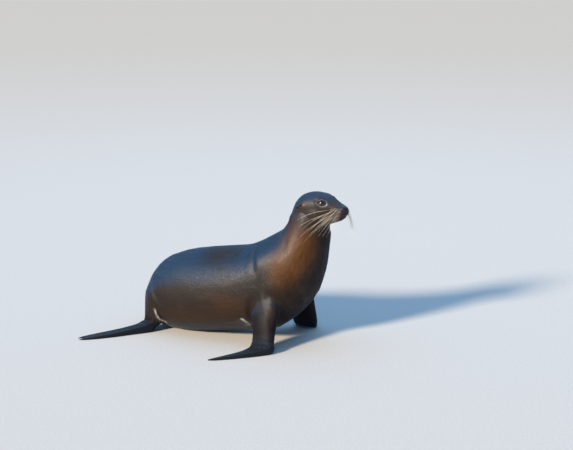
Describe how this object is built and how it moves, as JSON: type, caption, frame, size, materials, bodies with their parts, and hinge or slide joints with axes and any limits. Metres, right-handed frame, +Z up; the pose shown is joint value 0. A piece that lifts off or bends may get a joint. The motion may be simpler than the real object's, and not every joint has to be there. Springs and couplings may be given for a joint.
{
  "type": "sea lion",
  "caption": "Life-size sea lion in a wet dark brown coat, walking on its fore flippers with its head raised.",
  "frame": {"origin": "on the floor, under the middle of the whole animal's length and width", "axes": "+X towards the head, +Y towards the animal's left, +Z up"},
  "size_m": [1.2315, 0.9332, 0.7322],
  "materials": {
    "coat": "short flat hair, wet, dark brown",
    "flipper": "bare black skin, damp",
    "nose": "bare black skin, wet",
    "eye": "wet, almost black",
    "nail": "smooth dark horn"
  },
  "bodies": {
    "root": {"head": "coat", "muzzle": "coat", "lower_jaw": "coat", "nose": "nose", "eye_right": "eye", "eye_left": "eye", "ear_right": "coat", "ear_left": "coat", "neck": "coat", "chest": "coat", "abdomen": "coat", "rump": "coat", "tail": "coat", "fore_arm_right": "coat", "fore_arm_left": "coat", "fore_flipper_right": "flipper", "fore_flipper_left": "flipper", "hind_leg_right": "coat", "hind_leg_left": "coat", "hind_flipper_right": "flipper", "hind_flipper_left": "flipper", "hind_nail_right_1": "nail", "hind_nail_right_2": "nail", "hind_nail_right_3": "nail", "hind_nail_left_1": "nail", "hind_nail_left_2": "nail", "hind_nail_left_3": "nail"}
  },
  "joints": []
}
